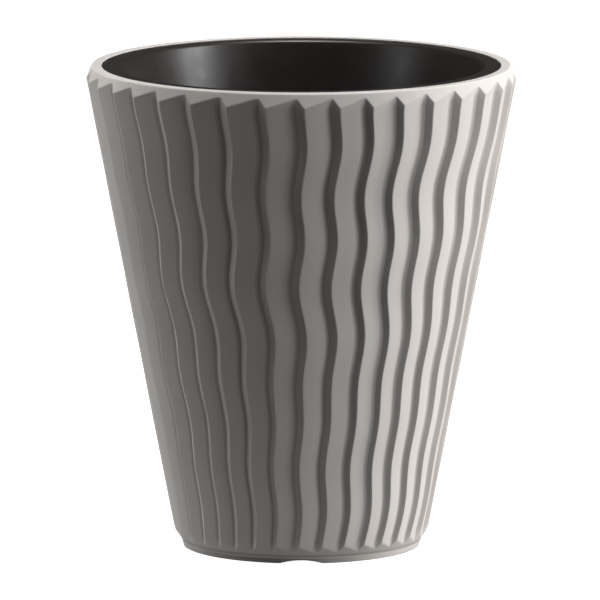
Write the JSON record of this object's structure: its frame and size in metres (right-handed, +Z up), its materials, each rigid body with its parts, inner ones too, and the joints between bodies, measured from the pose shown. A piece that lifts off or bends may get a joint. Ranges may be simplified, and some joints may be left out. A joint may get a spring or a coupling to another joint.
{
  "type": "self watering planter",
  "caption": "Tall conical planter with wavy vertical ridges, a lift-out soil liner, wick baskets, filling tube, float gauge and drain plug.",
  "frame": {"origin": "middle of the footprint, on the surface that the planter stands on", "axes": "+Z up along the pot's axis, -Y the front, towards which the filling tube and the gauge stand"},
  "size_m": [0.3899, 0.3899, 0.44],
  "materials": {
    "pot_plastic": "matte, fine grained",
    "anthracite_plastic": "satin",
    "basket_plastic": "satin",
    "black_rubber": "matte",
    "pin_steel": "bright drawn",
    "float_foam": "matte",
    "marker_red": "glossy",
    "clear_plastic": "clear moulded"
  },
  "bodies": {
    "outer_pot": {"outer_pot": "pot_plastic"},
    "liner": {"liner": "anthracite_plastic", "liner_floor": "anthracite_plastic", "wick_basket_back": "basket_plastic", "wick_basket_left": "basket_plastic", "wick_basket_right": "basket_plastic", "fill_tube": "basket_plastic", "fill_tube_extension": "basket_plastic", "fill_tube_foot": "basket_plastic", "fill_grommet": "black_rubber", "fill_collar": "anthracite_plastic", "fill_lid_pin": "pin_steel", "float_cage": "basket_plastic", "float_cage_cap": "anthracite_plastic", "indicator_tube": "basket_plastic", "indicator_window": "clear_plastic"},
    "fill_lid": {"fill_lid": "anthracite_plastic"},
    "level_float": {"level_float": "float_foam", "level_stem": "float_foam", "level_marker": "marker_red"},
    "drain_seal": {"drain_o_ring": "black_rubber"},
    "drain_plug": {"drain_plug": "anthracite_plastic"}
  },
  "joints": [
    {"name": "liner_lift", "type": "slide", "parent": "outer_pot", "child": "liner", "axis": [0, 0, 1], "range_m": [0, 0.43]},
    {"name": "fill_lid_hinge", "type": "hinge", "parent": "liner", "child": "fill_lid", "pos_m": [-0.027, -0.047, 0.4095], "axis": [-1, 0, 0], "range_deg": [0, 110]},
    {"name": "float_rise", "type": "slide", "parent": "liner", "child": "level_float", "axis": [0, 0, 1], "range_m": [0, 0.044]},
    {"name": "drain_plug_travel", "type": "slide", "parent": "outer_pot", "child": "drain_seal", "axis": [0, 0, -1], "range_m": [0, 0.009]},
    {"name": "drain_plug_turn", "type": "hinge", "parent": "drain_seal", "child": "drain_plug", "pos_m": [0, 0, 0.0075], "axis": [0, 0, -1], "range_deg": [0, 1080]}
  ],
  "couplings": [
    {"joint": "drain_plug_travel", "follows": "drain_plug_turn", "m_per_rad": 0.000477}
  ]
}
